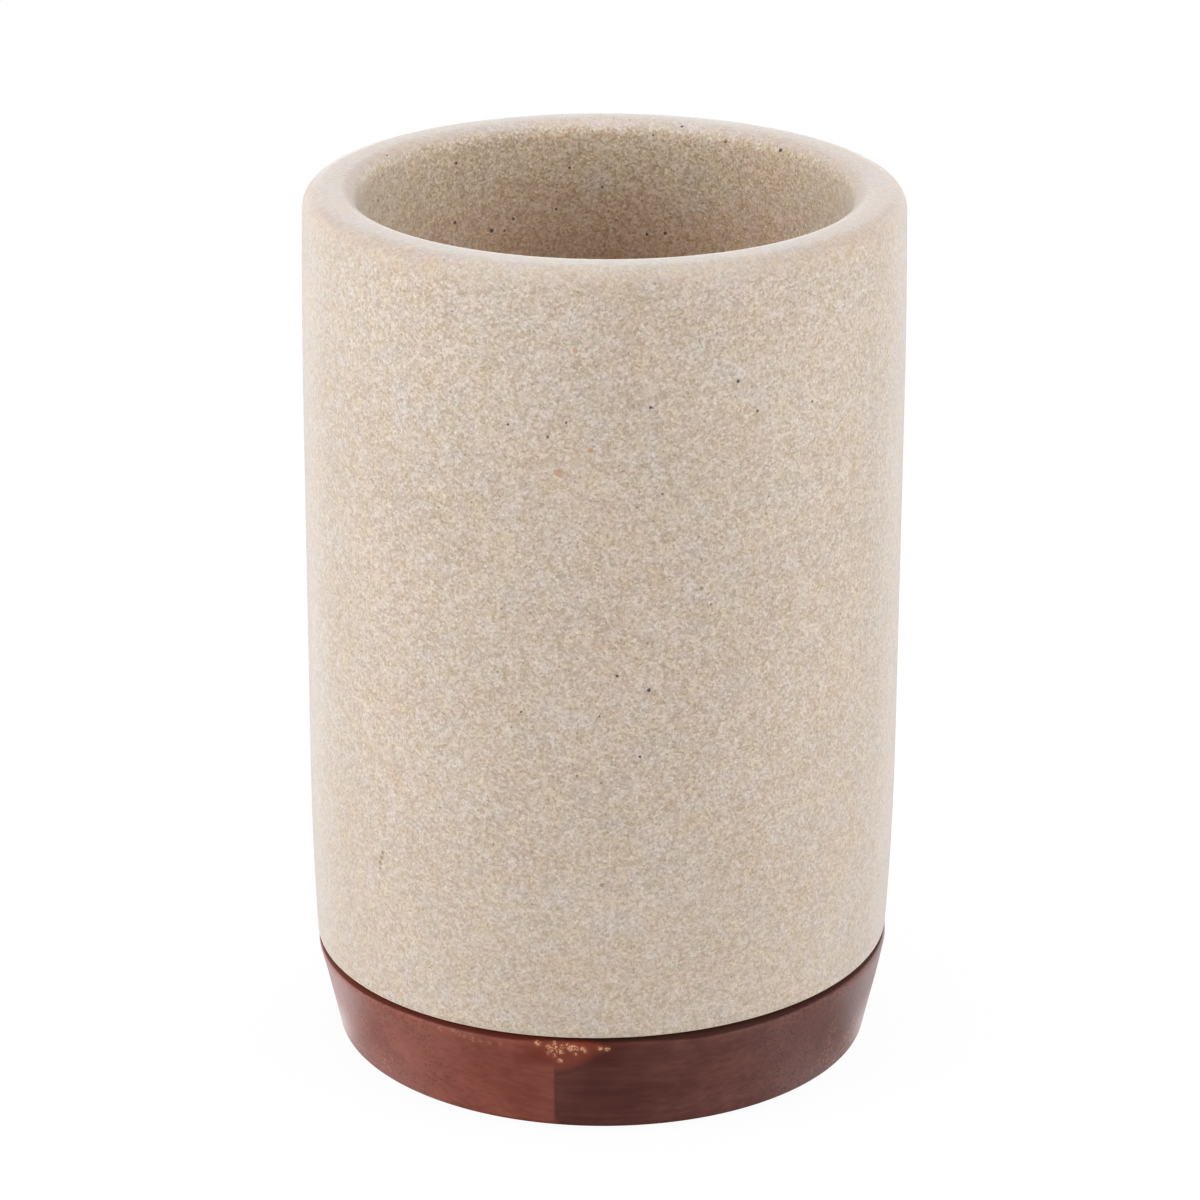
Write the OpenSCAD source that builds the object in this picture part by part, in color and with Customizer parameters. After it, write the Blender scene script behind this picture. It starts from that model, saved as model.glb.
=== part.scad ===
// Bathroom tumbler: a cast stone-effect cup glued into a turned acacia base.
// Millimetres. The origin is on the table, under the middle of the cup, with +Z up.
// The front of the cup faces -Y, and the grain of the wood runs along X.

/* [Cup] */
// Widest diameter of the cup, at mid height
cup_d = 73; // [62:0.5:90]
// Height of the cup, from its shoulder above the wood to its rim
cup_h = 95.5; // [70:0.5:130]
// How far the outside draws in at the rim, on the radius
rim_draw = 0.3; // [0.1:0.05:0.8]
// Height over which the outside draws in towards the rim
rim_ease_h = 25; // [10:1:30]
// How far the outside draws in at the shoulder, on the radius
shoulder_draw = 0.7; // [0.2:0.1:1.2]
// Height over which the outside draws in towards the shoulder
shoulder_ease_h = 24; // [10:1:30]
// Thickness of the wall at the rim
rim_wall = 6.4; // [5:0.1:8]
// How much narrower the inside is at its floor than at the rim, on the radius
inner_draft = 0.8; // [0.1:0.1:2]
// Radius of the lip's outer edge
lip_outer_r = 2.4; // [1:0.1:2.4]
// Radius of the lip's inner edge
lip_inner_r = 2.2; // [1:0.1:2.4]
// Thickness of the cup's floor above its shoulder
floor_t = 6; // [4:0.5:10]
// Radius between the floor and the inside wall
floor_fillet_r = 5; // [2:0.5:10]
// Radius of the cup's lower outside edge
shoulder_edge_r = 0.4; // [0.2:0.1:0.8]
// Width of the shoulder that overhangs the foot, from the widest radius
shoulder_w = 6.5; // [5:0.5:10]
// Height of the foot that sits in the wood
foot_h = 4; // [2:0.5:6]

/* [Wooden base] */
// Height of the wood
block_h = 13.1; // [11:0.1:20]
// How far the wood's upper edge, before it is rounded, stands out past the cup
block_proud = 0.5; // [0:0.1:1]
// How much narrower the wood is at its underside, on the radius
block_taper = 3.1; // [1:0.1:4]
// Rounding of the wood's upper edge
block_top_r = 1; // [0.4:0.1:1.5]
// Rounding of the wood's lower edge
block_bottom_r = 0.8; // [0.4:0.1:1.2]
// Gap round the foot in its recess
foot_clearance = 0.3; // [0.1:0.1:0.6]

/* [Finger joint] */
// Length of the fingers that join the two lengths of wood
finger_l = 10; // [6:0.5:14]
// Width of a finger's blunt tip
finger_tip_w = 1.4; // [0.6:0.1:2]
// Width taken by a finger's slanted side
finger_flank_w = 2; // [0.8:0.1:3]
// Place of the joint's middle, to the right of the cup's axis
joint_x = -0.5; // [-10:0.5:10]
// Place of the middle one of the right length's fingers, behind the cup's axis
joint_y = 0.2; // [-3:0.1:3]

/* [Adhesive and pad] */
// Thickness of the adhesive under the foot, which also leaves the shadow gap
glue_t = 0.3; // [0.2:0.1:0.8]
// How far the adhesive stops short of the foot's edge
glue_inset = 2; // [1:0.5:6]
// Thickness of the foam pad
pad_t = 1.8; // [1.5:0.1:3]
// Thickness of the film that holds the pad
film_t = 0.2; // [0.1:0.05:0.3]
// Depth of the recess for the pad
pad_recess_h = 1.4; // [0.8:0.1:1.5]
// How far the pad's edge lies inside the wood's lower edge
pad_inset = 4.2; // [3:0.1:8]
// Gap round the pad in its recess
pad_clearance = 0.5; // [0.2:0.1:1]

/* [Hidden] */
$fn = 128;
// How far a cutting shape runs past what it cuts
overrun = 1;
// Steps in each drawn-in stretch of the outside, and in each rounded edge
ease_steps = 8;
arc_steps = 10;

// Heights, from the table up
block_z = pad_t + film_t - pad_recess_h;
block_top_z = block_z + block_h;
recess_z = block_top_z - foot_h;
foot_z = recess_z + glue_t;
shoulder_z = foot_z + foot_h;
floor_z = shoulder_z + floor_t;
rim_z = shoulder_z + cup_h;

// Radii of the cup
cup_r = cup_d / 2;
rim_r = cup_r - rim_draw;
shoulder_r = cup_r - shoulder_draw;
foot_r = cup_r - shoulder_w;
mouth_r = rim_r - rim_wall;
floor_r = mouth_r - inner_draft;

// Radii of the wood and of what lies under it
block_r = shoulder_r + block_proud;
block_under_r = block_r - block_taper;
taper_angle = atan2(block_taper, block_h);
recess_r = foot_r + foot_clearance;
pad_r = block_under_r - pad_inset;
pad_recess_r = pad_r + pad_clearance;

// The fingers repeat along Y, and enough of them cross the wood
finger_pitch = 2 * (finger_tip_w + finger_flank_w);
fingers_each_way = ceil((block_r + abs(joint_y) + overrun) / finger_pitch);

// Points along a rounded edge, about its centre
function arc(centre, r, from, to) = [
    for (i = [0:arc_steps])
        let (a = from + (to - from) * i / arc_steps)
            centre + r * [cos(a), sin(a)]
];

// A point of the outside where it draws in: t is 0 at full width and 1 at the edge
function drawn_in(draw, z_full, z_edge, t) = [cup_r - draw * t * t, z_full + (z_edge - z_full) * t];

// Half section of the cup: up the outside, over the lip and down the inside
module cup_section() {
    lower_z = shoulder_z + shoulder_edge_r;
    upper_z = rim_z - lip_outer_r;
    polygon([
        [0, foot_z],
        [foot_r, foot_z],
        [foot_r, shoulder_z],
        each arc([shoulder_r - shoulder_edge_r, lower_z], shoulder_edge_r, -90, 0),
        for (i = [ease_steps - 1:-1:0])
            drawn_in(shoulder_draw, lower_z + shoulder_ease_h, lower_z, i / ease_steps),
        for (i = [0:ease_steps - 1])
            drawn_in(rim_draw, upper_z - rim_ease_h, upper_z, i / ease_steps),
        each arc([rim_r - lip_outer_r, upper_z], lip_outer_r, 0, 90),
        each arc([mouth_r + lip_inner_r, rim_z - lip_inner_r], lip_inner_r, 90, 180),
        each arc([floor_r - floor_fillet_r, floor_z + floor_fillet_r], floor_fillet_r, 0, -90),
        [0, floor_z]
    ]);
}

// The cup: polyester resin filled with stone powder, cast in one piece
module cup_body() {
    color("#c4b3a1") rotate_extrude() cup_section();
}

// Half section of the turned wood, with its recess above and the pad's recess below
module block_section() {
    lean = tan(taper_angle);
    reach = 1 / cos(taper_angle);
    top_x = block_r - block_top_r * (reach + lean);
    bottom_x = block_under_r - block_bottom_r * (reach - lean);
    polygon([
        [0, block_z + pad_recess_h],
        [pad_recess_r, block_z + pad_recess_h],
        [pad_recess_r, block_z],
        each arc([bottom_x, block_z + block_bottom_r], block_bottom_r, -90, -taper_angle),
        each arc([top_x, block_top_z - block_top_r], block_top_r, -taper_angle, 90),
        [recess_r, block_top_z],
        [recess_r, recess_z],
        [0, recess_z]
    ]);
}

// Everything to one side of the finger joint: side is -1 for the left and 1 for the right
module beside_joint(side) {
    half_l = finger_l / 2;
    half_tip = finger_tip_w / 2;
    far = side * (block_r + overrun);
    line = [
        for (i = [-fingers_each_way:fingers_each_way])
            let (tip_y = joint_y + i * finger_pitch) each [
                [joint_x - half_l, tip_y - half_tip],
                [joint_x - half_l, tip_y + half_tip],
                [joint_x + half_l, tip_y + half_tip + finger_flank_w],
                [joint_x + half_l, tip_y + half_tip + finger_flank_w + finger_tip_w]
            ]
    ];
    translate([0, 0, block_z - overrun]) linear_extrude(block_h + 2 * overrun) polygon([
        [far, line[0].y],
        each line,
        [far, line[len(line) - 1].y]
    ]);
}

// One length of the base: acacia, finger jointed and glued to the other before turning
module base_block(side) {
    intersection() {
        rotate_extrude() block_section();
        beside_joint(side);
    }
}

module base_block_left() {
    color("#7e4a42") base_block(-1);
}

module base_block_right() {
    color("#553330") base_block(1);
}

// The epoxy under the cup's foot
module cup_adhesive() {
    color("#d8cfae") translate([0, 0, recess_z]) cylinder(h = glue_t, r = foot_r - glue_inset);
}

// The die-cut foam pad that the tumbler stands on
module foot_pad() {
    color("#2e2d2c") cylinder(h = pad_t, r = pad_r);
}

// The pad's self-adhesive film
module pad_adhesive() {
    color("#e4e0d6") translate([0, 0, pad_t]) cylinder(h = film_t, r = pad_r);
}

cup_body();
base_block_left();
base_block_right();
cup_adhesive();
foot_pad();
pad_adhesive();
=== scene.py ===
import math

import bmesh
import bpy
from mathutils import Color, Matrix, Vector


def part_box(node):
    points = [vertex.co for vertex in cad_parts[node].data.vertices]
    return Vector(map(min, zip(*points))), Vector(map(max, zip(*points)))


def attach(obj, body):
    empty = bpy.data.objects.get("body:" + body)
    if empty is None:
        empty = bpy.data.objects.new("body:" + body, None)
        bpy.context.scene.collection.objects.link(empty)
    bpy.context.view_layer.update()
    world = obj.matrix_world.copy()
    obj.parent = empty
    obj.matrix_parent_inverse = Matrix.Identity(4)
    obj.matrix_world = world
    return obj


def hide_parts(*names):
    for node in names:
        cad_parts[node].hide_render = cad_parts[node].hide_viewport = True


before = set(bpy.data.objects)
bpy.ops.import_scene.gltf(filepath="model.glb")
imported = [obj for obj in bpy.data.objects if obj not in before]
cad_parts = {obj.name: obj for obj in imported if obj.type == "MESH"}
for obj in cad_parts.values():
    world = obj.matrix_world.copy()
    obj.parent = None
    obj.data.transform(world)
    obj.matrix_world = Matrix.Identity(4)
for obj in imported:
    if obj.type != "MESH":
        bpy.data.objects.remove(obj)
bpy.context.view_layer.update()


# Wooden base
# Two lengths of acacia, one red-brown and one dark, finger jointed and glued end to end, then
# turned to a taper with a recess for the cup and one for the pad, and sprayed with satin lacquer.
MM = 0.001
TURNED_STEPS = 288
base_low, base_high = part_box("base_block_left")
wood_under_z = base_low.z
wood_top_z = base_high.z - 0.2 * MM
wood_top_r = 36.1 * MM
wood_under_r = 33.2 * MM
wood_top_rounding = 1.264 * MM
wood_under_rounding = 0.633 * MM
foot_recess_r = 30.3 * MM
foot_recess_z = base_high.z - 4 * MM
pad_recess_r = 29.5 * MM
pad_recess_z = wood_under_z + 1.4 * MM
wood_overrun = 2 * MM
ROUNDING_STEPS = 10
LONGEST_WOOD_STEP = 1 * MM
SHARP_FROM = math.radians(30)

finger_middle_x = -0.5 * MM
finger_middle_y = 0.2 * MM
finger_half_l = 5 * MM
finger_half_tip = 0.7 * MM
finger_flank_w = 2 * MM
finger_pitch = 6.8 * MM
FINGERS_EACH_WAY = 6

# The cup was set a little askew, and the wood's upper edge was sanded to meet it
wood_tilt = 0.0138
wood_tilt_from_z = 9 * MM
edge_lean = 0.006


def half_section(corners, roundings):
    """A bmesh with a turned shape's half section, from one point on the axis round to another.

    corners are (radius, height). roundings says how far from which corner its rounding starts.
    """
    bm = bmesh.new()
    verts = [bm.verts.new((r, 0, z)) for r, z in corners]
    for pair in zip(verts, verts[1:]):
        bm.edges.new(pair)
    for index, offset in roundings.items():
        bmesh.ops.bevel(
            bm, geom=[verts[index]], offset=offset, offset_type='OFFSET', affect='VERTICES',
            segments=ROUNDING_STEPS, profile=0.5, material=-1)
    return bm


def cut_long_edges(bm, longest):
    """Divides each edge of a half section that is longer than this, so that shading stays even."""
    for edge in [e for e in bm.edges if e.calc_length() > longest]:
        cuts = math.ceil(edge.calc_length() / longest) - 1
        bmesh.ops.subdivide_edges(bm, edges=[edge], cuts=cuts)


def turn(bm, steps=TURNED_STEPS):
    """Spins a half section round the Z axis into a closed shell with its faces outwards."""
    bmesh.ops.spin(
        bm, geom=bm.verts[:] + bm.edges[:], cent=(0, 0, 0), axis=(0, 0, 1), dvec=(0, 0, 0),
        angle=math.tau, steps=steps, use_merge=True, use_normal_flip=False, use_duplicate=False)
    bmesh.ops.remove_doubles(bm, verts=bm.verts, dist=0.001 * MM)
    bmesh.ops.recalc_face_normals(bm, faces=bm.faces)


def disc(r, low_z, high_z, roundings, longest, steps):
    """A turned disc, whose corner 1 is its lower edge and corner 2 its upper edge."""
    bm = half_section([(0, low_z), (r, low_z), (r, high_z), (0, high_z)], roundings)
    cut_long_edges(bm, longest)
    turn(bm, steps)
    return bm


def within(share):
    """Keeps a share between 0 and 1."""
    return min(max(share, 0), 1)


def lean(bm, tilt, from_z, to_z):
    """Raises what lies to the right and lowers what lies to the left, more and more up to to_z."""
    for vert in bm.verts:
        vert.co.z += tilt * vert.co.x * within((vert.co.z - from_z) / (to_z - from_z))


def shade(bm):
    """Shades a bmesh smooth, but for its sharp edges."""
    for face in bm.faces:
        face.smooth = True
    for edge in bm.edges:
        edge.smooth = edge.calc_face_angle(0) < SHARP_FROM


def finished(name, bm, material):
    """Makes a piece of a bmesh, which is used up, and gives it its material."""
    shade(bm)
    mesh = bpy.data.meshes.new(name)
    bm.to_mesh(mesh)
    bm.free()
    mesh.materials.append(material)
    piece = bpy.data.objects.new(name, mesh)
    bpy.context.scene.collection.objects.link(piece)
    return piece


def turned_base():
    """The whole base before it is parted along its finger joint."""
    bm = half_section([
        (0, pad_recess_z),
        (pad_recess_r, pad_recess_z),
        (pad_recess_r, wood_under_z),
        (wood_under_r, wood_under_z),
        (wood_top_r, wood_top_z),
        (foot_recess_r, wood_top_z),
        (foot_recess_r, foot_recess_z),
        (0, foot_recess_z),
    ], {3: wood_under_rounding, 4: wood_top_rounding})
    cut_long_edges(bm, LONGEST_WOOD_STEP)
    turn(bm)
    lean(bm, wood_tilt, wood_tilt_from_z, wood_top_z - wood_top_rounding)
    return bm


def beside_joint(side):
    """A block that covers everything to one side of the finger joint, -1 or 1."""
    bm = bmesh.new()
    low_z = wood_under_z - wood_overrun
    line = []
    for finger in range(-FINGERS_EACH_WAY, FINGERS_EACH_WAY + 1):
        tip_y = finger_middle_y + finger * finger_pitch
        left, right = finger_middle_x - finger_half_l, finger_middle_x + finger_half_l
        for x, y in ((left, -finger_half_tip), (left, finger_half_tip),
                     (right, finger_half_tip + finger_flank_w),
                     (right, finger_pitch - finger_half_tip - finger_flank_w)):
            line.append(bm.verts.new((x, tip_y + y, low_z)))
    edges = [bm.edges.new(pair) for pair in zip(line, line[1:])]
    spread = bmesh.ops.extrude_edge_only(bm, edges=edges)["geom"]
    for vert in (v for v in spread if isinstance(v, bmesh.types.BMVert)):
        vert.co.x = side * (wood_top_r + wood_overrun)
    raised = bmesh.ops.extrude_face_region(bm, geom=bm.faces[:])["geom"]
    bmesh.ops.translate(
        bm, verts=[v for v in raised if isinstance(v, bmesh.types.BMVert)],
        vec=(0, 0, wood_top_z - wood_under_z + 2 * wood_overrun))
    bmesh.ops.recalc_face_normals(bm, faces=bm.faces)
    return bm


def light(red, green, blue):
    """A colour as a screen shows it, 0 to 255, in Blender's linear light."""
    return (*Color((red / 255, green / 255, blue / 255)).from_srgb_to_scene_linear(), 1)


def add(tree, kind, sockets=None, **settings):
    """Adds a node; sockets maps a socket's name or number to its value or to another's output."""
    made = tree.nodes.new("ShaderNode" + kind)
    for name, value in settings.items():
        setattr(made, name, value)
    for socket, value in (sockets or {}).items():
        if isinstance(value, bpy.types.NodeSocket):
            tree.links.new(value, made.inputs[socket])
        else:
            made.inputs[socket].default_value = value
    return made


def calc(tree, operation, *values):
    """The result of a Math node."""
    return add(tree, "Math", dict(enumerate(values)), operation=operation).outputs[0]


def fade(tree, value, start, end, low=0, high=1):
    """Takes a value smoothly from low at start to high at end."""
    made = add(tree, "MapRange", {0: value, 1: start, 2: end, 3: low, 4: high},
               interpolation_type='SMOOTHSTEP')
    return made.outputs[0]


def blend(tree, factor, first, second, blend_type='MIX'):
    """Mixes two colours."""
    made = add(tree, "Mix", {0: factor, 6: first, 7: second}, data_type='RGBA',
               blend_type=blend_type)
    return made.outputs[2]


def speckle(tree, place, scale, **sockets):
    """Cloudy noise, 0 to 1, of this many spots a metre."""
    made = add(tree, "TexNoise", {"Vector": place, "Scale": scale, **sockets})
    return made.outputs["Fac"]


def new_material(name):
    """A material's nodes, with its shader and the place on the piece that they start from."""
    material = bpy.data.materials.new(name)
    material.use_nodes = True
    tree = material.node_tree
    place = add(tree, "TexCoord").outputs["Object"]
    return material, tree, tree.nodes["Principled BSDF"], place


def near_places(tree, place, places):
    """How far inside the nearest of these spheres (x, y, z, radius, in mm) a point lies."""
    depth = -1.0
    for x, y, z, r in places:
        gap = add(tree, "VectorMath", {0: place, 1: (x * MM, y * MM, z * MM)},
                  operation='DISTANCE').outputs["Value"]
        depth = calc(tree, 'MAXIMUM', calc(tree, 'SUBTRACT', r * MM, gap), depth)
    return depth


def shifted(tree, place, scale, amount):
    """Moves places about at random by up to this much, so that marks get ragged edges."""
    noise = add(tree, "TexNoise", {"Vector": place, "Scale": scale}).outputs["Color"]
    centred = add(tree, "VectorMath", {0: noise, 1: (-0.5, -0.5, -0.5)}).outputs[0]
    made = add(tree, "VectorMath", {0: centred, 1: (2 * amount,) * 3, 2: place},
               operation='MULTIPLY_ADD')
    return made.outputs[0]


NO_TINT = (1, 1, 1, 1)
# Patterns are drawn out along the grain: along X they change this much more slowly
ALONG_GRAIN = 0.045
# How far from the middle the wood's changes begin and end
OFF_MIDDLE = (2 * MM, 11 * MM)
BESIDE = (18 * MM, 27 * MM)
RAYS_BESIDE = (22 * MM, 29 * MM)
# Pores in their two sizes: how many a metre, and how far from the middle they start to darken
PORES = [(1700, 10 * MM), (2700, 14 * MM)]
pore_r = 0.08 * MM
pores_dark_from_middle = 24 * MM
# The redder patch at the joint: its middle, how far it reaches, and its lower and upper height
redder_x = -3.5 * MM
REDDER_REACH = (8 * MM, 3 * MM)
REDDER_HEIGHTS = (8.7 * MM, 11.2 * MM)
# The dark upper edge starts and is full this far below the wood's top. Towards the middle, and
# from one x to another, it gets so much wider, or narrower where the amount is negative
edge_starts = 0.76 * MM
edge_full = 0.48 * MM
EDGE_MIDDLE = (12 * MM, 5 * MM, -0.3 * MM)
EDGE_CHANGES = [
    (12 * MM, 22 * MM, -0.12 * MM), (19 * MM, 32 * MM, -0.3 * MM), (-22 * MM, -32 * MM, 0.24 * MM),
]
# Pale flecks of filler along the upper edge at the front: place and radius in mm
FILLER_FLECKS = [
    (-7.7, -34.9, 12.83, 0.22), (-6.4, -35.3, 12.44, 0.2), (-6.1, -35.4, 12.06, 0.24),
    (-5.7, -35.2, 12.98, 0.16), (-5.7, -35.5, 12.45, 0.2), (-5.2, -35.5, 11.97, 0.22),
    (-4.9, -35.5, 11.79, 0.2), (-4.8, -35.6, 12.6, 0.14), (-4.1, -35.6, 12.68, 0.22),
    (-3.5, -35.7, 12.58, 0.28), (-3.8, -35.7, 12.34, 0.2), (-3.1, -35.8, 12.4, 0.2),
    (-2.3, -35.9, 12.38, 0.22), (-2.0, -35.9, 12.12, 0.18), (-3.2, -35.7, 11.59, 0.12),
    (-5.8, -35.3, 11.23, 0.2), (-5.1, -35.2, 10.53, 0.2), (-6.5, -35.2, 11.45, 0.12),
    (-0.2, -35.9, 12.49, 0.18), (0.6, -35.9, 12.4, 0.2), (1.6, -35.9, 12.18, 0.14),
]
# Fainter scuffs beside them, in the same measures
SCUFFS = [
    (-17.9, -30.9, 12.35, 0.26), (-17.2, -31.3, 12.2, 0.22), (-16.5, -31.7, 12.05, 0.24),
    (-15.6, -32.2, 11.95, 0.28), (-14.7, -32.6, 11.9, 0.2), (-13.6, -33.1, 11.95, 0.22),
    (-19.5, -29.9, 12.2, 0.18), (-12.2, -33.6, 12.1, 0.16),
]


def acacia(name, tones, pore_tone, ray_tone, edge_tone, off_middle, beside, soft_side=None,
           flecks=()):
    """Lacquered acacia with its grain along X: long faint lines in front, dots of pores beside.

    tones go from the dark to the light bands of the wood, pore_tone and ray_tone are those of its
    pores and rays, and edge_tone is that of its dark edges, where stain and painted shade darken
    it.
    off_middle and beside tint it away from the joint and at the two sides. soft_side is the colour
    that shows through where the wood thins out over the joint's flanks. flecks are spots of
    filler:
    place and radius in mm.
    """
    material, tree, shader, place = new_material(name)
    split = add(tree, "SeparateXYZ", {0: place})
    x, y, z = split.outputs["X"], split.outputs["Y"], split.outputs["Z"]
    from_middle = calc(tree, 'ABSOLUTE', x)
    along = add(tree, "Mapping", {"Vector": place, "Scale": (ALONG_GRAIN, 1, 1)}).outputs[0]
    level = 0.0
    for pattern, strength in ((speckle(tree, along, 260, Detail=3.0, Distortion=0.3), 0.3),
                              (speckle(tree, along, 1600, Detail=2.0, Roughness=0.6), 0.4),
                              (speckle(tree, place, 240, Detail=3.0), 0.3)):
        level = calc(tree, 'MULTIPLY_ADD', pattern, strength, level)
    wood = blend(tree, fade(tree, level, 0.36, 0.64), tones[0], tones[1])

    # Pores cut across near the two sides, where they are dots, and cut along in front
    patches = fade(tree, speckle(tree, along, 170), 0.36, 0.54, 0.15, 1)
    pore = 0.0
    for scale, nearest in PORES:
        cells = add(tree, "TexVoronoi", {"Vector": along, "Scale": scale, "Randomness": 1.0})
        reach = scale * pore_r
        dot = fade(tree, cells.outputs["Distance"], 1.7 * reach, 0.9 * reach)
        dark = fade(tree, from_middle, nearest, pores_dark_from_middle, 0.12, 0.9)
        dot = calc(tree, 'MULTIPLY', dot, dark)
        pore = calc(tree, 'MAXIMUM', pore, calc(tree, 'MULTIPLY', dot, patches))
    wood = blend(tree, pore, wood, pore_tone)

    # Pale rays show between the pores at the two sides, most of them low down
    rays = add(tree, "TexVoronoi", {"Vector": along, "Scale": 2200.0, "Randomness": 1.0})
    ray = calc(tree, 'MULTIPLY', fade(tree, rays.outputs["Distance"], 0.45, 0.2),
               fade(tree, from_middle, *RAYS_BESIDE, 0, 0.8))
    ray = calc(tree, 'MULTIPLY', ray, fade(tree, z, 11 * MM, 6 * MM, 0.3, 1))
    patches = fade(tree, speckle(tree, along, 240), 0.42, 0.6)
    wood = blend(tree, calc(tree, 'MULTIPLY', ray, patches), wood, ray_tone)
    paler = blend(tree, fade(tree, from_middle, *OFF_MIDDLE), NO_TINT, off_middle)
    paler = blend(tree, fade(tree, from_middle, *BESIDE), paler, beside)
    wood = blend(tree, 1.0, wood, paler, 'MULTIPLY')

    # Over the joint's slanted flanks this length runs out thinner and thinner
    if soft_side:
        to_finger = calc(tree, 'PINGPONG', calc(tree, 'SUBTRACT', y, finger_middle_y),
                         finger_pitch / 2)
        slope = finger_flank_w / (2 * finger_half_l)
        finger_left = finger_middle_x - finger_half_l
        half_finger = calc(tree, 'MULTIPLY_ADD', x, slope, finger_half_tip - slope * finger_left)
        depth = calc(tree, 'MAXIMUM', calc(tree, 'SUBTRACT', to_finger, half_finger),
                     calc(tree, 'SUBTRACT', finger_left, x))
        wood = blend(tree, fade(tree, depth, -0.05 * MM, 0.45 * MM), soft_side, wood)

    # Filler that stayed on the upper edge as broken pale flecks in a faint haze
    if flecks:
        ragged = shifted(tree, place, 4200, 0.26 * MM)
        broken = fade(tree, speckle(tree, place, 4600, Detail=1.0), 0.42, 0.56)
        inside = near_places(tree, ragged, flecks)
        haze = fade(tree, inside, -0.55 * MM, 0.0, 0, 0.26)
        wood = blend(tree, haze, wood, light(184, 118, 92))
        fleck = calc(tree, 'MULTIPLY', fade(tree, inside, -0.24 * MM, 0.0, 0, 0.9), broken)
        wood = blend(tree, fleck, wood, light(232, 202, 166))
        scuff = fade(tree, near_places(tree, ragged, SCUFFS), -0.4 * MM, 0.2 * MM, 0, 0.5)
        wood = blend(tree, calc(tree, 'MULTIPLY', scuff, broken), wood, light(196, 136, 104))

    # Beside the joint's tip the wood is redder along the upper edge
    redder = calc(tree, 'ABSOLUTE', calc(tree, 'SUBTRACT', x, redder_x))
    redder = calc(tree, 'MULTIPLY', fade(tree, redder, *REDDER_REACH),
                  fade(tree, z, *REDDER_HEIGHTS))
    wood = blend(tree, redder, wood, (0.85, 0.64, 0.54, 1), 'MULTIPLY')

    # The upper edge, where it turns in under the cup, is darkened with painted shade from the
    # cup's overhang as well as with stain and glue, and dulled; least of it in the middle and at
    # the far right
    height = calc(tree, 'MULTIPLY_ADD', x, edge_lean - wood_tilt, z)
    begin, end, wider = EDGE_MIDDLE
    height = calc(tree, 'ADD', height, fade(tree, from_middle, begin, end, 0, wider))
    for begin, end, wider in EDGE_CHANGES:
        height = calc(tree, 'ADD', height, fade(tree, x, begin, end, 0, wider))
    edge = fade(tree, height, wood_top_z - edge_starts, wood_top_z - edge_full)
    wood = blend(tree, calc(tree, 'MULTIPLY', edge, 0.88), wood, edge_tone)

    # It is paler near the underside, but for the lower edge, which is darkened by painted shade
    # where it stands close over the floor
    wood = blend(tree, fade(tree, z, 7 * MM, 2 * MM), wood, (1.08, 1.13, 1.18, 1), 'MULTIPLY')
    low = fade(tree, z, wood_under_z + 0.5 * MM, wood_under_z + 0.1 * MM, 0, 0.35)
    wood = blend(tree, low, wood, edge_tone)
    tree.links.new(wood, shader.inputs["Base Color"])

    # Satin lacquer, a little smeared, and missing from the darkened upper edge
    smear = fade(tree, speckle(tree, place, 90, Detail=2.0), 0.3, 0.7, 0.3, 0.4)
    dull = add(tree, "Mix", {0: edge, 2: smear, 3: 0.75}).outputs[0]
    tree.links.new(dull, shader.inputs["Roughness"])
    tree.links.new(fade(tree, edge, 0, 1, 1, 0.15), shader.inputs["Coat Weight"])
    shader.inputs["Coat Roughness"].default_value = 0.2
    shader.inputs["Sheen Weight"].default_value = 0.15
    shader.inputs["Sheen Roughness"].default_value = 0.4
    shader.inputs["Sheen Tint"].default_value = light(255, 120, 100)
    bump = add(tree, "Bump", {"Strength": 0.25, "Distance": 0.05 * MM,
                              "Height": calc(tree, 'SUBTRACT', level, pore)})
    tree.links.new(bump.outputs[0], shader.inputs["Normal"])
    return material


red_acacia = acacia(
    "red_acacia", tones=(light(126, 65, 51), light(146, 80, 66)), pore_tone=light(94, 40, 34),
    ray_tone=light(182, 116, 86), edge_tone=light(80, 25, 10), off_middle=NO_TINT,
    beside=(1.12, 1.12, 1.12, 1), soft_side=light(88, 50, 45), flecks=FILLER_FLECKS)
dark_acacia = acacia(
    "dark_acacia", tones=(light(84, 43, 38), light(104, 58, 51)), pore_tone=light(48, 24, 20),
    ray_tone=light(158, 96, 70), edge_tone=light(54, 23, 15), off_middle=(1.3, 1.55, 1.55, 1),
    beside=(1.18, 1.2, 1.2, 1))

whole_base = turned_base()
for side, name, material, slot in (
        (-1, "base_length_red", red_acacia, "acacia_red"),
        (1, "base_length_dark", dark_acacia, "acacia_dark")):
    piece = finished(name, whole_base.copy(), material)
    cutter = finished("joint_cutter", beside_joint(side), material)
    cut = piece.modifiers.new("finger_joint", 'BOOLEAN')
    cut.operation = 'INTERSECT'
    cut.solver = 'MANIFOLD'
    cut.object = cutter
    bpy.context.view_layer.update()
    result = piece.evaluated_get(bpy.context.evaluated_depsgraph_get())
    whole = piece.data
    piece.data = bpy.data.meshes.new_from_object(result)
    piece.modifiers.clear()
    bpy.data.meshes.remove(whole)
    bpy.data.meshes.remove(cutter.data)
    parted = bmesh.new()
    parted.from_mesh(piece.data)
    bmesh.ops.remove_doubles(parted, verts=parted.verts, dist=0.0005 * MM)
    bmesh.ops.recalc_face_normals(parted, faces=parted.faces)
    shade(parted)
    parted.to_mesh(piece.data)
    parted.free()
    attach(piece, "root")
    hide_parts("base_block_left" if side < 0 else "base_block_right")
whole_base.free()


# Adhesive under the cup
# A disc of two-part epoxy in the bottom of the recess, spread with a notched card and pressed
# flat by the cup's foot, so that its edge has run out unevenly.
glue_low, glue_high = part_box("cup_adhesive")
glue_r = 27.6 * MM
glue_waver = 0.35 * MM
glue_rounding = 0.1 * MM
LONGEST_GLUE_STEP = 4 * MM
GLUE_TURNED_STEPS = 96

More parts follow.
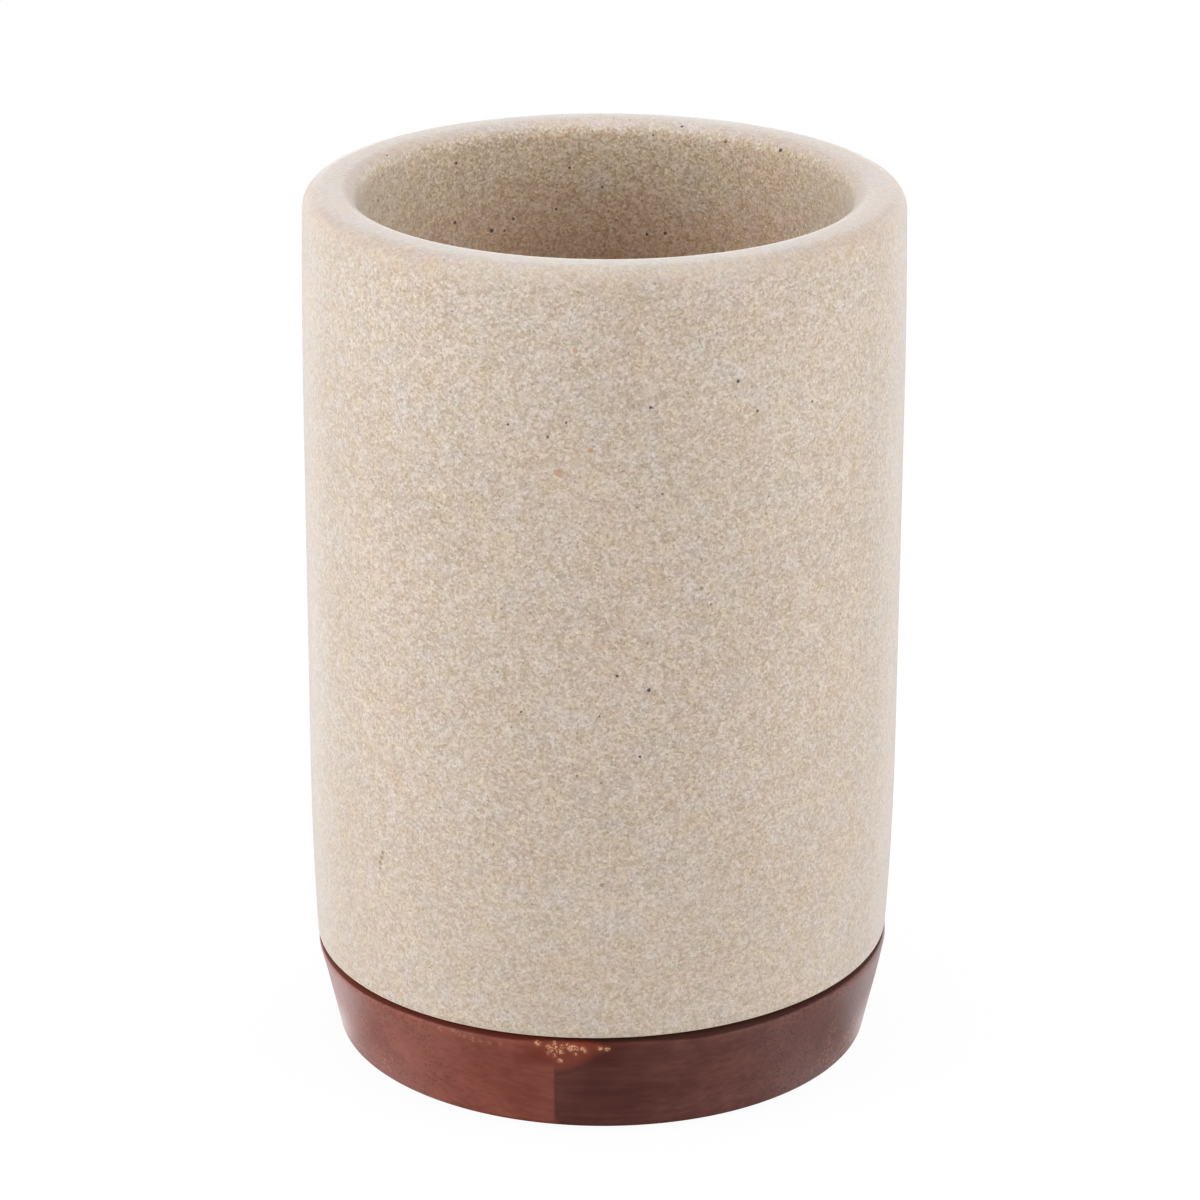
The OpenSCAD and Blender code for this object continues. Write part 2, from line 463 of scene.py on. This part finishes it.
bm = disc(glue_r, glue_low.z, glue_high.z, {1: glue_rounding, 2: glue_rounding},
          LONGEST_GLUE_STEP, GLUE_TURNED_STEPS)
for vert in bm.verts:
    turn_angle = math.atan2(vert.co.y, vert.co.x)
    waver = (math.sin(3 * turn_angle + 1) + 0.6 * math.sin(7 * turn_angle)
             + 0.4 * math.sin(13 * turn_angle + 2))
    reach = math.hypot(vert.co.x, vert.co.y) / glue_r
    vert.co.xy *= 1 + glue_waver / glue_r * waver / 2 * reach ** 3

epoxy, tree, shader, place = new_material("amber_epoxy")
cloud = speckle(tree, place, 300, Detail=2.0)
tree.links.new(blend(tree, cloud, light(206, 192, 148), light(228, 216, 182)),
               shader.inputs["Base Color"])
shader.inputs["Roughness"].default_value = 0.2
adhesive = finished("cup_glue", bm, epoxy)
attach(adhesive, "root")
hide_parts("cup_adhesive")


# Cup
# Cast in one piece from polyester resin filled with sand and stone powder, straight outside with
# a soft rounded lip, and ground flat at the shoulder that stands just clear of the wood.
cup_low, cup_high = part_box("cup_body")
cup_r = cup_high.x
rim_z = cup_high.z
foot_z = cup_low.z
shoulder_z = foot_z + 3.79 * MM
floor_z = shoulder_z + 6 * MM
foot_r = 30 * MM
shoulder_r = 35.88 * MM
rim_r = 36.2 * MM
mouth_r = 29.8 * MM
floor_r = 29 * MM
lip_outer_rounding = 2.4 * MM
lip_inner_rounding = 2.2 * MM
floor_rounding = 5 * MM
shoulder_rounding = 0.4 * MM
shoulder_ease_h = 24 * MM
rim_ease_h = 25 * MM
cup_tilt = 0.0158
cup_tilt_h = 5 * MM
# Its lower end also drifted a little to the left as it cured
lower_drift = 0.09 * MM
LONGEST_CUP_STEP = 2 * MM

bm = half_section([
    (0, foot_z), (foot_r, foot_z), (foot_r, shoulder_z), (cup_r, shoulder_z),
    (cup_r, rim_z), (mouth_r, rim_z), (floor_r, floor_z), (0, floor_z),
], {3: shoulder_rounding, 4: lip_outer_rounding, 5: lip_inner_rounding, 6: floor_rounding})
cut_long_edges(bm, LONGEST_CUP_STEP)
# The outside draws in towards the shoulder and towards the rim
for vert in bm.verts:
    below = (shoulder_z + shoulder_rounding + shoulder_ease_h - vert.co.z) / shoulder_ease_h
    above = (vert.co.z - (rim_z - lip_outer_rounding - rim_ease_h)) / rim_ease_h
    if vert.co.x > foot_r + shoulder_rounding and vert.co.z < rim_z - lip_outer_rounding * 1.2:
        vert.co.x -= (cup_r - shoulder_r) * within(below) ** 2
    if vert.co.x > mouth_r + lip_inner_rounding:
        vert.co.x -= (cup_r - rim_r) * within(above) ** 2
turn(bm)
# Its shoulder leans and its lower end drifts, but not the foot in its recess
for vert in bm.verts:
    below = (shoulder_z + shoulder_ease_h - vert.co.z) / shoulder_ease_h
    share = 1 - (vert.co.z - shoulder_z) / cup_tilt_h
    if math.hypot(vert.co.x, vert.co.y) > foot_r - 0.1 * MM and vert.co.z > shoulder_z - 0.1 * MM:
        vert.co.z += cup_tilt * vert.co.x * within(share)
        vert.co.x -= lower_drift * within(below)

# Dark grains of ore outside: degrees to the right of the front, height and radius in mm
ORE_OUTSIDE = [
    (8.4, 58.8, 0.23), (24.8, 95.5, 0.22), (2.5, 60.7, 0.19), (8.3, 93.3, 0.18), (6.8, 50.5, 0.18),
    (-15.2, 55.7, 0.17), (18.0, 21.0, 0.17), (-17.5, 90.8, 0.16), (28.8, 91.6, 0.17),
    (-23.9, 19.4, 0.15), (-6.8, 91.5, 0.15), (22.4, 103.9, 0.15), (-10.1, 89.7, 0.15),
    (-0.6, 55.7, 0.14), (41.2, 91.3, 0.15), (-4.8, 48.1, 0.14), (-36.6, 100.4, 0.14),
    (10.6, 82.9, 0.13), (19.9, 68.8, 0.13),
]
# Dark grains inside and on the lip: place and radius in mm
ORE_INSIDE = [
    (-18.7, 23.1, 98.2, 0.24), (-14.2, 26.1, 96.3, 0.28), (-27.7, 10.9, 104.4, 0.21),
    (21.8, 20.7, 108.3, 0.26), (-18.5, 23.3, 105.8, 0.2), (-11.5, 27.4, 97.5, 0.19),
    (-6.1, 29.1, 98.3, 0.18), (-4.4, 29.4, 103.6, 0.18), (7.7, 28.7, 95.3, 0.21),
    (5.4, 29.2, 95.0, 0.2), (9.7, 29.1, 109.1, 0.2), (6.1, 29.3, 107.9, 0.16),
    (23.6, 18.0, 98.9, 0.17), (15.1, 25.8, 108.0, 0.16), (-26.7, 15.0, 109.0, 0.16),
]
# Larger grey-brown grains outside, and grains stained with rust, in the same measures
BROWN_OUTSIDE = [
    (-0.1, 34.2, 0.28), (18.1, 70.9, 0.28), (-47.2, 31.8, 0.32), (-46.8, 32.6, 0.3),
    (-46.5, 33.3, 0.26), (-47.3, 31.1, 0.24),
]
RUST_OUTSIDE = [(-8.2, 85.4, 0.42), (-5.2, 100.1, 0.34), (-2.4, 88.3, 0.3)]
# How far from the axis the grains outside lie, in mm
grains_r = 36.45
# Stray grains: how many a metre, radius in mm, tone and strength of dark, olive and pale ones
STRAY_GRAINS = [
    (420, 0.14, light(80, 70, 60), 0.6), (300, 0.24, light(150, 132, 96), 0.3),
    (200, 0.4, light(238, 230, 224), 0.28),
]
# The paler patch to the left near the rim: place and radius in mm
PALE_PATCH = (-20, -31, 102, 24)
pale_patch_blur = 14 * MM
# Drifts in the colour of the sand: how many a metre, and the tints at their two ends
DRIFTS = [
    (800, (1, 0.96, 0.97, 1), (0.995, 1.016, 0.995, 1)),
    (450, (1, 0.975, 0.9, 1), (0.985, 0.99, 1.03, 1)),
    (120, (1, 0.97, 0.945, 1), (0.985, 0.99, 1, 1)),
]
GRAINS_PER_M = 3000.0
ground_tone = light(155, 132, 106)
rubbed_and_highlit_ground_tone = light(164, 146, 132)
pale_tone = light(240, 228, 216)
ore_tone = light(34, 24, 16)
brown_tone = light(134, 116, 90)
rust_tone = light(190, 140, 96)


def on_outside(places):
    """The places (x, y, z, radius) of grains that are given round the cup's outside."""
    found = []
    for degrees, z, r in places:
        turn_angle = math.radians(degrees)
        found.append((grains_r * math.sin(turn_angle), -grains_r * math.cos(turn_angle), z, r))
    return found


sandstone, tree, shader, place = new_material("cast_sandstone")
split = add(tree, "SeparateXYZ", {0: place})
across, depth, height = split.outputs["X"], split.outputs["Y"], split.outputs["Z"]
flat = add(tree, "VectorMath", {0: place, 1: (1, 1, 0)}, operation='MULTIPLY').outputs[0]
radius = add(tree, "VectorMath", {0: flat}, operation='LENGTH').outputs["Value"]
hollow = fade(tree, radius, mouth_r + 0.8 * MM, mouth_r + 0.1 * MM)
lip = calc(tree, 'MULTIPLY', fade(tree, height, rim_z - 3.4 * MM, rim_z - 0.5 * MM),
           fade(tree, radius, mouth_r + 0.1 * MM, mouth_r + 0.9 * MM))

# Sand grains, each with a tone of its own, among finer dust: pale grains in a browner ground
grain = add(tree, "TexVoronoi", {"Vector": place, "Scale": GRAINS_PER_M, "Randomness": 1.0})
grain_tone = add(tree, "SeparateColor", {0: grain.outputs["Color"]}).outputs[0]
dust = speckle(tree, place, 4200, Detail=1.0, Roughness=0.6)
lumps = speckle(tree, place, 900, Detail=1.0)
cloud = speckle(tree, place, 55, Detail=2.0)
level = 0.0
for pattern, strength in ((grain_tone, 0.42), (dust, 0.9), (lumps, 0.3)):
    level = calc(tree, 'MULTIPLY_ADD', calc(tree, 'SUBTRACT', pattern, 0.5), strength, level)
# The grain stands out most inside, and least on the lip, which is rubbed and also takes a painted
# highlight there: its grain washed out, on a paler ground
contrast = fade(tree, height, 15 * MM, 60 * MM, 0.79, 0.93)
contrast = add(tree, "Mix", {0: hollow, 2: contrast, 3: 1.2}).outputs[0]
contrast = calc(tree, 'MULTIPLY', contrast, calc(tree, 'MULTIPLY_ADD', lip, -0.38, 1.0))
level = calc(tree, 'MULTIPLY_ADD', level, contrast, 0.5)
level = calc(tree, 'MULTIPLY_ADD', calc(tree, 'SUBTRACT', cloud, 0.5), 0.13, level)
ground = blend(tree, calc(tree, 'MULTIPLY', lip, 0.6), ground_tone, rubbed_and_highlit_ground_tone)
stone = blend(tree, level, ground, pale_tone)

# The colour of the sand drifts a little between yellowish, pinkish and greyish
for scale, warm, cool in DRIFTS:
    drift = fade(tree, speckle(tree, place, scale, Detail=1.0), 0.25, 0.75)
    drift = blend(tree, drift, warm, cool)
    stone = blend(tree, 1.0, stone, drift, 'MULTIPLY')

# To the left near the rim it is paler
pale = fade(tree, near_places(tree, place, [PALE_PATCH]), 0, pale_patch_blur)
stone = blend(tree, pale, stone, (1.03, 1.045, 1.06, 1), 'MULTIPLY')

# Painted light on the lip: painted shade darkens its top to a pinkish grey at the sides, and a
# painted highlight makes it pale where it turns in
beside = fade(tree, calc(tree, 'ABSOLUTE', across), 14 * MM, 30 * MM)
beside = calc(tree, 'MULTIPLY', lip, beside)
stone = blend(tree, beside, stone, (0.97, 0.92, 0.895, 1), 'MULTIPLY')
turned_in = calc(tree, 'MULTIPLY', fade(tree, radius, mouth_r + 2.4 * MM, mouth_r + 1.3 * MM),
                 fade(tree, height, rim_z - 1.9 * MM, rim_z - 0.6 * MM))
painted_lip_highlight = blend(tree, fade(tree, depth, -25 * MM, 0), (1.17, 1.18, 1.2, 1), (1.13, 1.16, 1.22, 1))
stone = blend(tree, turned_in, stone, painted_lip_highlight, 'MULTIPLY')

# Inside it is browner, and redder the deeper it lies
deep = fade(tree, height, rim_z - 6 * MM, rim_z - 20 * MM)
inside_tint = blend(tree, deep, (1.02, 1.0, 0.9, 1), (1.21, 1.05, 0.88, 1))
# It shows on the ground more than on the pale grains
inside_tinted = calc(tree, 'MULTIPLY', hollow, fade(tree, level, 0.2, 1.0, 1, 0.4))
stone = blend(tree, inside_tinted, stone, inside_tint, 'MULTIPLY')

# Small stray grains at random
for scale, r, tone, share in STRAY_GRAINS:
    stray = add(tree, "TexVoronoi", {"Vector": place, "Scale": scale, "Randomness": 1.0})
    reach = r * MM * scale
    spot = fade(tree, stray.outputs["Distance"], 1.2 * reach, 0.7 * reach, 0, share)
    stone = blend(tree, spot, stone, tone)

ragged = shifted(tree, place, 3200, 0.1 * MM)
for marks, tone, share in (
        (on_outside(ORE_OUTSIDE) + ORE_INSIDE, ore_tone, 0.92),
        (on_outside(BROWN_OUTSIDE), brown_tone, 0.75),
        (on_outside(RUST_OUTSIDE), rust_tone, 0.7)):
    inside = near_places(tree, ragged, marks)
    stone = blend(tree, fade(tree, inside, -0.04 * MM, 0.05 * MM, 0, share), stone, tone)
# Behind, and in the far side of the hollow, a few more lie at random
ore = add(tree, "TexVoronoi", {"Vector": place, "Scale": 250.0, "Randomness": 1.0})
behind = fade(tree, depth, 6 * MM, 10 * MM, 0, 0.9)
ore = calc(tree, 'MULTIPLY', fade(tree, ore.outputs["Distance"], 0.05, 0.03), behind)
stone = blend(tree, ore, stone, light(60, 52, 46))

# A thin yellowish line along the shoulder's edge is a painted highlight, where the edge catches
# light
over_edge = calc(tree, 'MULTIPLY_ADD', across, -cup_tilt, height)
line = fade(tree, over_edge, shoulder_z + 0.42 * MM, shoulder_z + 0.12 * MM, 0, 0.5)
stone = blend(tree, line, stone, light(206, 196, 142))

tree.links.new(stone, shader.inputs["Base Color"])
shader.inputs["Roughness"].default_value = 0.55
shader.inputs["Specular IOR Level"].default_value = 0.8
shader.inputs["Sheen Weight"].default_value = 0.8
shader.inputs["Sheen Roughness"].default_value = 0.5
bump = add(tree, "Bump", {"Strength": 0.3, "Distance": 0.05 * MM,
                          "Height": grain.outputs["Distance"]})
tree.links.new(bump.outputs[0], shader.inputs["Normal"])

cup = finished("stone_cup", bm, sandstone)
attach(cup, "root")
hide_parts("cup_body")


# Foam pad
# A disc die-cut from a sheet of black closed-cell EVA foam, which keeps the lacquer off the
# shelf. It fills its recess but for a narrow gap, and stands a little proud of the wood.
pad_low, pad_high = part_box("foot_pad")
pad_r = pad_high.x
pad_under_rounding = 0.25 * MM
pad_upper_rounding = 0.12 * MM
LONGEST_PAD_STEP = 3 * MM
PAD_TURNED_STEPS = 192

bm = disc(pad_r, pad_low.z, pad_high.z, {1: pad_under_rounding, 2: pad_upper_rounding},
          LONGEST_PAD_STEP, PAD_TURNED_STEPS)

foam, tree, shader, place = new_material("black_foam")
pits = add(tree, "TexVoronoi", {"Vector": place, "Scale": 2600.0, "Randomness": 1.0})
pit = fade(tree, pits.outputs["Distance"], 0.5, 0.1)
tree.links.new(blend(tree, pit, light(52, 51, 50), light(34, 33, 32)), shader.inputs["Base Color"])
shader.inputs["Roughness"].default_value = 0.85
bump = add(tree, "Bump", {"Strength": 0.6, "Distance": 0.1 * MM,
                          "Height": calc(tree, 'SUBTRACT', 1.0, pit)})
tree.links.new(bump.outputs[0], shader.inputs["Normal"])
pad = finished("eva_pad", bm, foam)
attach(pad, "root")
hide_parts("foot_pad")


# Adhesive film
# The double-sided film that came on the foam and was cut with it: a matte white carrier with
# adhesive on both faces, pressed up into the recess.
film_low, film_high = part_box("pad_adhesive")

bm = disc(pad_r, film_low.z, film_high.z, {}, LONGEST_PAD_STEP, PAD_TURNED_STEPS)

carrier, tree, shader, place = new_material("film_carrier")
fibre = speckle(tree, place, 900, Detail=3.0)
tree.links.new(blend(tree, fibre, light(214, 208, 196), light(236, 232, 222)),
               shader.inputs["Base Color"])
shader.inputs["Roughness"].default_value = 0.6
film = finished("pad_film", bm, carrier)
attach(film, "root")
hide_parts("pad_adhesive")


# Studio
# A plain white floor in soft even light, as in a light tent that is open towards the camera.
# The camera sees floor and tent white. Mirrored, the tent is dark in front and brightest behind.
scene = bpy.context.scene
scene.view_settings.view_transform = 'Standard'
floor_half = 4.0
shadow_share = 0.1
paper_grey = 0.55
paper_seen = 1.06
tent_light = 0.3
side_wall = 0.3
back_wall = 0.5
right_share = 0.8
# How far back a direction points, from -1 to 1, where the open front ends, and where the back
# begins for the floor and for the tent; then how far right it points at the dimmer side
OPEN_FRONT = (-0.95, -0.6)
FLOOR_BACK = (-0.39, -0.06)
TENT_BACK = (0.3, 0.95)
FAR_RIGHT = (0.8, 1)


def tent_walls(tree, direction, back):
    """How light the tent is round the tumbler: dark in front, bright behind, less to the right.

    back is where its back wall begins and is full.
    """
    flat = add(tree, "VectorMath", {0: direction, 1: (1, 1, 0)}, operation='MULTIPLY').outputs[0]
    flat = add(tree, "VectorMath", {0: flat}, operation='NORMALIZE').outputs[0]
    split = add(tree, "SeparateXYZ", {0: flat})
    rightward, backward = split.outputs["X"], split.outputs["Y"]
    walls = calc(tree, 'ADD', fade(tree, backward, *OPEN_FRONT, 0, side_wall),
                 fade(tree, backward, *back, 0, back_wall))
    return calc(tree, 'MULTIPLY', walls, fade(tree, rightward, *FAR_RIGHT, 1, right_share))


bm = bmesh.new()
bmesh.ops.create_grid(bm, x_segments=1, y_segments=1, size=floor_half)
paper, tree, shader, place = new_material("white_floor")
shader.inputs["Base Color"].default_value = (paper_grey, paper_grey, paper_grey, 1)
shader.inputs["Roughness"].default_value = 1
shader.inputs["Specular IOR Level"].default_value = 0
rays = add(tree, "LightPath").outputs
seen_white = calc(tree, 'MAXIMUM', calc(tree, 'MAXIMUM', rays["Is Camera Ray"],
                                        rays["Is Glossy Ray"]), rays["Is Transmission Ray"])
walls = tent_walls(tree, place, FLOOR_BACK)
# Mirrored in the wood, the floor is brightest right beside it and dimmer a little further out
away = add(tree, "VectorMath", {0: place}, operation='LENGTH').outputs["Value"]
nearby = calc(tree, 'MAXIMUM', fade(tree, away, 34 * MM, 38 * MM, 1.3, 0.88),
              fade(tree, away, 45 * MM, 70 * MM, 0.88, 1))
walls = calc(tree, 'MULTIPLY', walls, nearby)
strength = add(tree, "Mix", {0: rays["Is Glossy Ray"], 2: paper_seen, 3: walls})
white = add(tree, "Emission", {"Color": (1, 1, 1, 1), "Strength": strength.outputs[0]}).outputs[0]
share = calc(tree, 'MULTIPLY', seen_white, 1 - shadow_share)
both = add(tree, "MixShader", {0: share, 1: shader.outputs[0], 2: white}).outputs[0]
tree.links.new(both, tree.nodes["Material Output"].inputs["Surface"])
floor = finished("floor", bm, paper)

world = bpy.data.worlds.new("light_tent")
scene.world = world
world.use_nodes = True
tree = world.node_tree
rays = add(tree, "LightPath").outputs
walls = tent_walls(tree, add(tree, "TexCoord").outputs["Generated"], TENT_BACK)
strength = calc(tree, 'MAXIMUM', calc(tree, 'MAXIMUM', rays["Is Camera Ray"],
                                      rays["Is Transmission Ray"]),
                calc(tree, 'MULTIPLY', rays["Is Glossy Ray"], walls))
strength = calc(tree, 'MAXIMUM', strength, calc(tree, 'MULTIPLY', rays["Is Diffuse Ray"],
                                                tent_light))
tree.links.new(strength, tree.nodes["Background"].inputs["Strength"])
tree.nodes["Background"].inputs["Color"].default_value = (1, 1, 1, 1)

# Softboxes to the left, to the right, overhead and behind: place, width and power in watts
SOFTBOXES = [
    ("left_softbox", (-0.85, -0.35, 0.22), 0.7, 9.7),
    ("right_softbox", (0.85, -0.35, 0.22), 0.7, 8.4),
    ("top_softbox", (0, 0.1, 1.1), 0.9, 3.4),
    ("left_rim_softbox", (-0.5, 0.8, 0.1), 0.18, 2.7),
    ("right_rim_softbox", (0.5, 0.8, 0.1), 0.18, 2.4),
]
aim = Vector((0, 0, 0.05))
for name, spot, side, power in SOFTBOXES:
    lamp = bpy.data.lights.new(name, 'AREA')
    lamp.size = side
    lamp.energy = power
    softbox = bpy.data.objects.new(name, lamp)
    softbox.matrix_world = (Matrix.Translation(spot)
                            @ (Vector(spot) - aim).to_track_quat('Z', 'Y').to_matrix().to_4x4())
    softbox.visible_camera = False
    softbox.visible_glossy = False
    scene.collection.objects.link(softbox)

# The photo's camera as fitted: its focal length in the photo's pixels, its place and its turn
photo_w = 1200
photo_focal_length = 4612.5
sensor_w = 36
camera_place = (-0.0004, -0.5342, 0.25643)
looking_down = 0.3582
rolled = 0.0032
camera_data = bpy.data.cameras.new("camera")
camera_data.sensor_width = sensor_w
camera_data.lens = sensor_w * photo_focal_length / photo_w
camera_data.clip_start = 0.01
camera = bpy.data.objects.new("camera", camera_data)
camera.matrix_world = (
    Matrix.Translation(camera_place)
    @ Matrix.Rotation(math.pi / 2 - looking_down, 4, 'X')
    @ Matrix.Rotation(rolled, 4, 'Z'))
scene.collection.objects.link(camera)
scene.camera = camera
